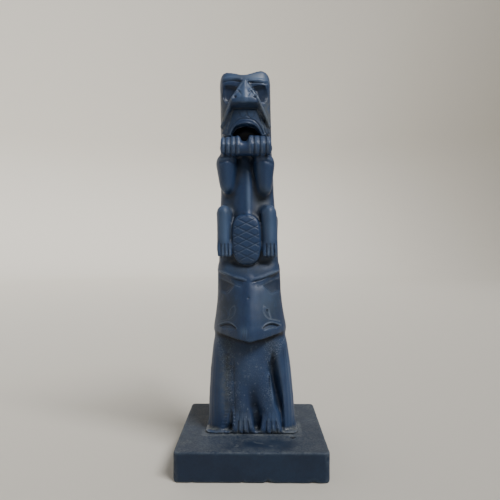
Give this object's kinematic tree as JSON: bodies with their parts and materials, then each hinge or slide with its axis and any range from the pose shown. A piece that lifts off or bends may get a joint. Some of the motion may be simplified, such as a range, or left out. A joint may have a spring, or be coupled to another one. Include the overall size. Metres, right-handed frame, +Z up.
{
  "type": "totem pole",
  "caption": "Small carved slate totem pole: a beaver gnawing a stick above an eagle with a hooked beak, glued to a square slab.",
  "frame": {"origin": "centre of the base's underside", "axes": "+Z up along the pole, -Y towards the carved front, +X to the viewer's right"},
  "size_m": [0.0914, 0.0914, 0.2497],
  "materials": {
    "carved_slate": "hand-rubbed dark slate with dust in the hollows",
    "base_slate": "sawn dark slate, dusty on top"
  },
  "bodies": {
    "root": {"carved_pole": "carved_slate", "base": "base_slate"}
  },
  "joints": []
}
